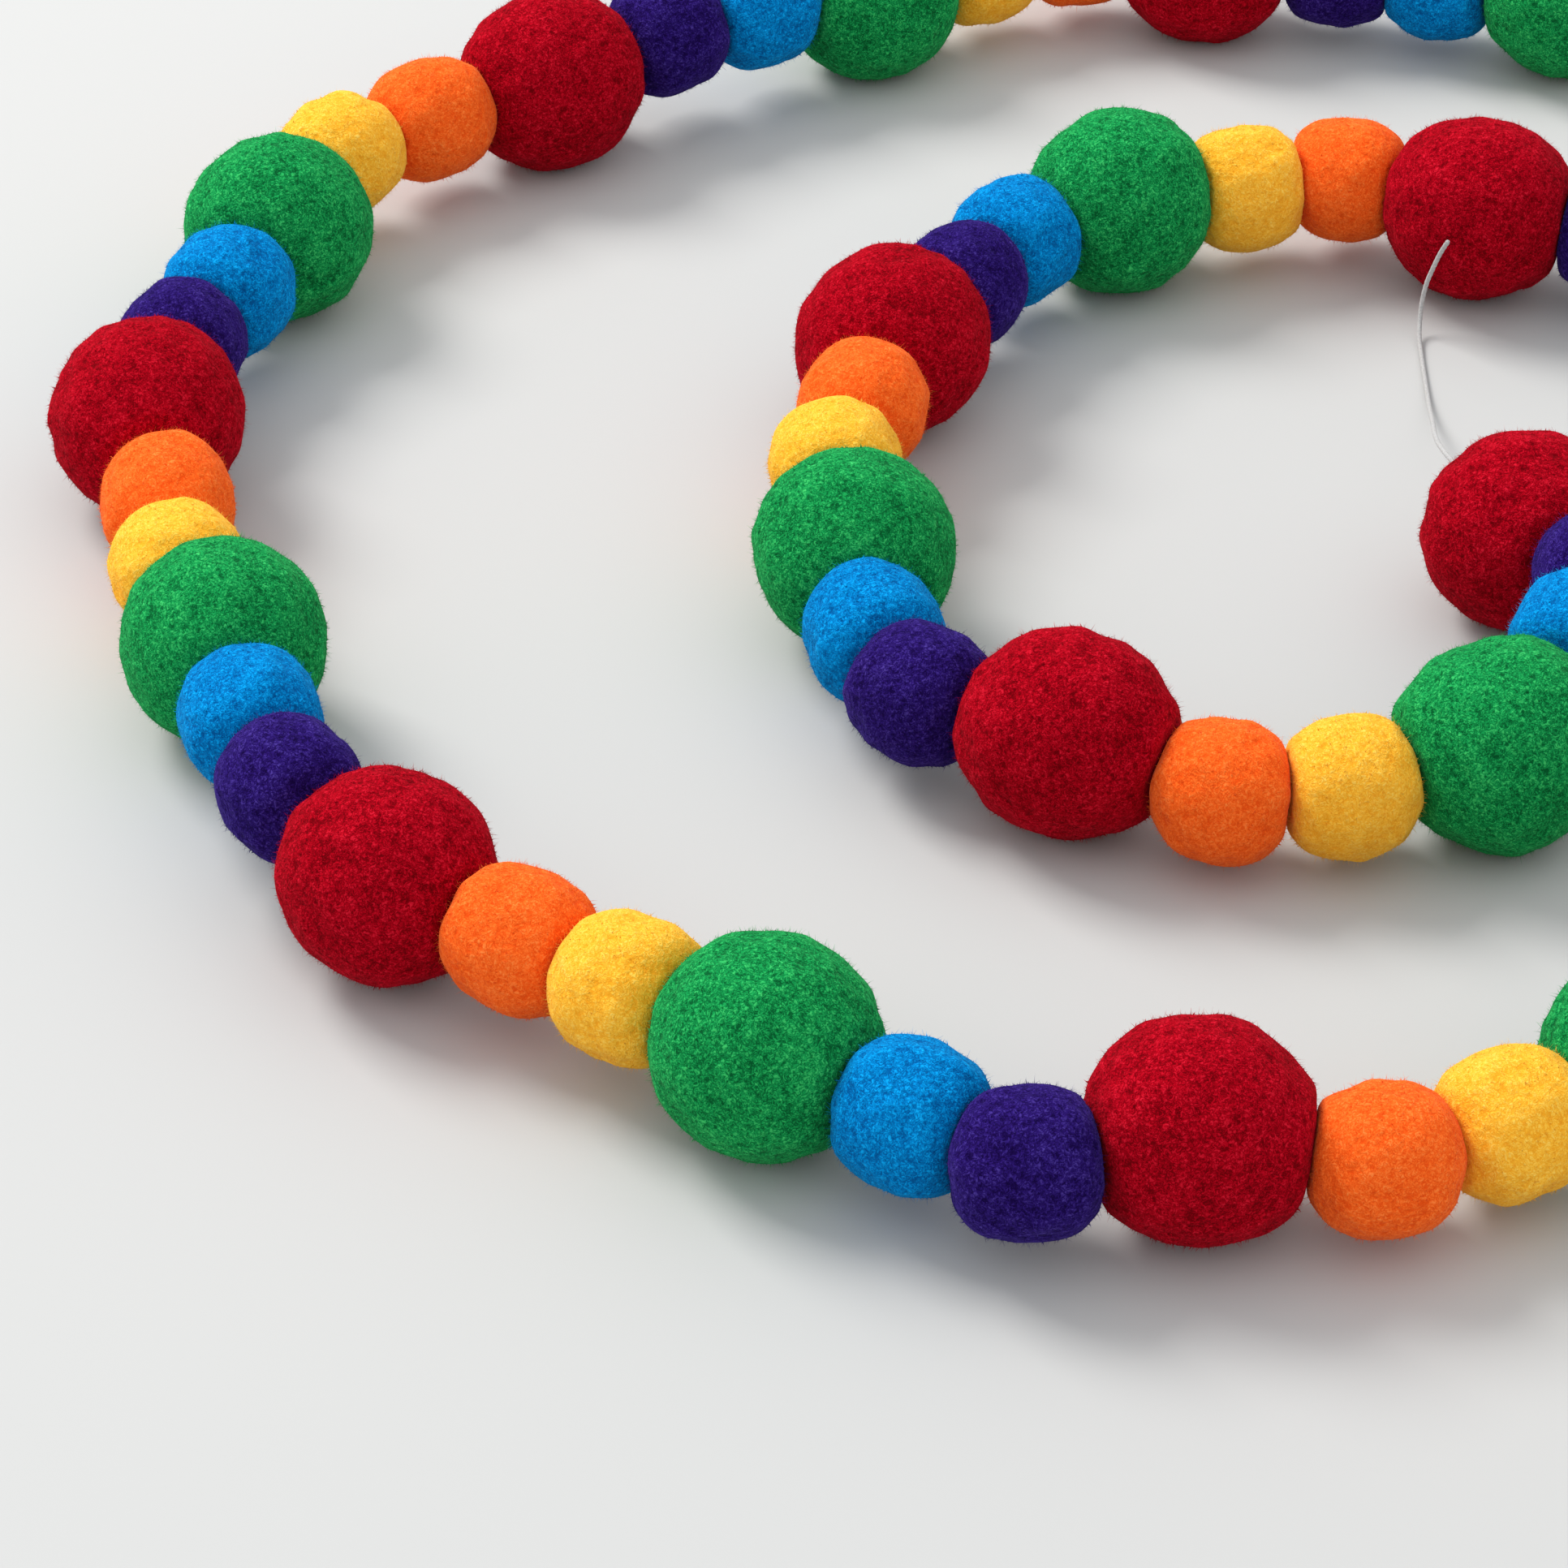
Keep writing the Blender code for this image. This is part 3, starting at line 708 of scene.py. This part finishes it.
def spikes_of(number, density, lengths, widths, spread, first_seed):
    """Spikes at chance places of the free skin: tip = root + length * (outwards + chance lean)."""
    seed = first_seed + 2 * number
    area = 4 * math.pi * ball_radius(number) ** 2
    unit = scatter_directions(round(density * area), seed)
    roots, height, free = felt_surface(unit, number)
    chance = np.random.default_rng(seed + 1)
    kept = chance.uniform(size=len(unit)) < free * ease(BARE_BELOW, FULL_ABOVE, unit[:, 2])
    unit, roots, height = unit[kept], roots[kept], height[kept]
    count = len(unit)
    lean = chance.normal(0.0, spread, (count, 3))
    way = unit + lean - (lean * unit).sum(axis=1, keepdims=True) * unit
    way /= np.linalg.norm(way, axis=1, keepdims=True)
    length = lengths[0] + (lengths[1] - lengths[0]) * chance.uniform(size=(count, 1)) ** 2
    width = chance.uniform(*widths, size=(count, 1))
    first = np.cross(way, chance.normal(size=(count, 3)))
    first *= width / np.linalg.norm(first, axis=1, keepdims=True)
    second = THINNESS * np.cross(way, first)
    base = roots - ROOT_DEPTH * unit
    inner, outer = THIRD_COSINE * first, THIRD_SINE * second
    corners = [base + first, base + inner + outer, base + inner - outer, roots + length * way]
    points = np.stack(corners, axis=1).reshape(-1, 3)
    points[:, 2] = np.maximum(points[:, 2], 0.0)
    # Painted light at the tips and painted shade at the roots.
    tip = np.clip(TIP_LIGHT_LEVEL + TIP_RELIEF_SHADE_SLOPE * height + chance.normal(0.0, TIP_SPREAD, count), 0.0, TIP_MOST)
    pile = np.stack([*[ROOT_SHADE_SHARE * tip] * 3, tip], axis=1).ravel()
    return points, flat_place(unit, number), pile


def fuzz_of(number):
    """Tufts and hairs of one ball, as points, faces, flat map and pile height, which paints light and
    shade.
    """
    kinds = [spikes_of(number, **TUFTS), spikes_of(number, **HAIRS)]
    points, places, pile = (np.concatenate(parts) for parts in zip(*kinds))
    starts = 4 * np.arange(len(places))[:, None]
    faces = np.concatenate([starts + row for row in SPIKE_FACES])
    corner_map = np.tile(np.repeat(places, 3, axis=0), (4, 1))
    return points, faces, corner_map, pile


print(f"a large ball has {len(fuzz_of(0)[1]) // 4} fibres")

# %% [markdown]
# A maker rolls every ball by itself, so each one is a piece of its own, skin and fuzz together. One
# joined mesh would be shorter to write, but then no ball could be recoloured or left out. Ten
# small balls have their solid in common with a neighbour, and those pairs stand for it together.

# %% Felt balls
def node_of(number):
    """Name of the solid that a ball stands for: its own, or that of its joined pair."""
    starts = (f"ball_{number:02d}_", f"pair_{number:02d}_", f"pair_{number - 1:02d}_")
    return next(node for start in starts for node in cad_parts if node.startswith(start))


def make_ball(number):
    """Skin and fuzz of one ball as one piece."""
    colour = COLOUR_ORDER[number % len(COLOUR_ORDER)]
    points, faces, corner_map, pile = skin_of(number)
    tips, spikes, tip_map, tip_light_and_shade = fuzz_of(number)
    faces.append(spikes + len(points))
    points = np.vstack([points, tips]) * MM
    corner_map = np.vstack([corner_map, tip_map])
    pile = np.concatenate([pile, tip_light_and_shade])
    ball = make_piece(f"felt_{number:02d}_{colour}", points, faces, corner_map, pile, felts[colour])
    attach(ball, "root")
    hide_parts(node_of(number))
    return ball


balls = [make_ball(number) for number in range(len(centres))]
triangles = sum(len(ball.data.loops) - 2 * len(ball.data.polygons) for ball in balls)
print(f"{len(balls)} felt balls, {triangles} triangles")

# %% [markdown]
# The table is plain and pale. Soft light comes from a wide lamp behind and to the left, so the
# shadows fall short and soft towards the right and the viewer, and a pale room fills them. A sun
# lamp would be simpler, but its shadows are harder. The saturated balls tint the table next to
# them by themselves.

# %% Table and light
TABLE_REACH = 4.0
TABLE_COLOUR = (0.512, 0.51, 0.504)
TABLE_ROUGHNESS, TABLE_SHINE = 0.7, 0.2
WINDOW_PLACE, WINDOW_SIZE = (-1.9, 1.65, 2.4), 1.5
WINDOW_POWER, WINDOW_COLOUR = 112.0, (1.0, 0.985, 0.96)
ROOM_COLOUR, ROOM_LIGHT = (0.95, 0.98, 1.0), 1.02


def make_table():
    """Large flat sheet under the garland, plain and pale."""
    mesh = bpy.data.meshes.new("table")
    reach = TABLE_REACH
    corners = [(-reach, -reach, 0), (reach, -reach, 0), (reach, reach, 0), (-reach, reach, 0)]
    mesh.from_pydata(corners, [], [(0, 1, 2, 3)])
    material = bpy.data.materials.new("table_top")
    material.use_nodes = True
    shader = material.node_tree.nodes["Principled BSDF"]
    set_inputs(shader, {
        "Base Color": (*TABLE_COLOUR, 1.0),
        "Roughness": TABLE_ROUGHNESS,
        "Specular IOR Level": TABLE_SHINE,
    })
    mesh.materials.append(material)
    table = bpy.data.objects.new("table", mesh)
    bpy.context.scene.collection.objects.link(table)
    return table


def make_lamp(name, place, size, power, colour):
    """Square soft lamp that faces the table's middle: tilt acos(height / distance), turn atan2."""
    data = bpy.data.lights.new(name, "AREA")
    data.size = size
    data.energy = power
    data.color = colour
    lamp = bpy.data.objects.new(name, data)
    lamp.location = place
    towards = -np.array(place)
    lamp.rotation_euler = (
        math.acos(-towards[2] / np.linalg.norm(towards)),
        0.0,
        math.atan2(towards[1], towards[0]) - math.pi / 2,
    )
    bpy.context.scene.collection.objects.link(lamp)
    return lamp


make_table()
make_lamp("window", WINDOW_PLACE, WINDOW_SIZE, WINDOW_POWER, WINDOW_COLOUR)
world = bpy.data.worlds.new("room")
world.use_nodes = True
set_inputs(world.node_tree.nodes["Background"], {"Color": (*ROOM_COLOUR, 1.0), "Strength": ROOM_LIGHT})
bpy.context.scene.world = world
bpy.context.scene.view_settings.view_transform = "Standard"
print(f"{len(bpy.data.lights)} lamp, room light {ROOM_LIGHT}")
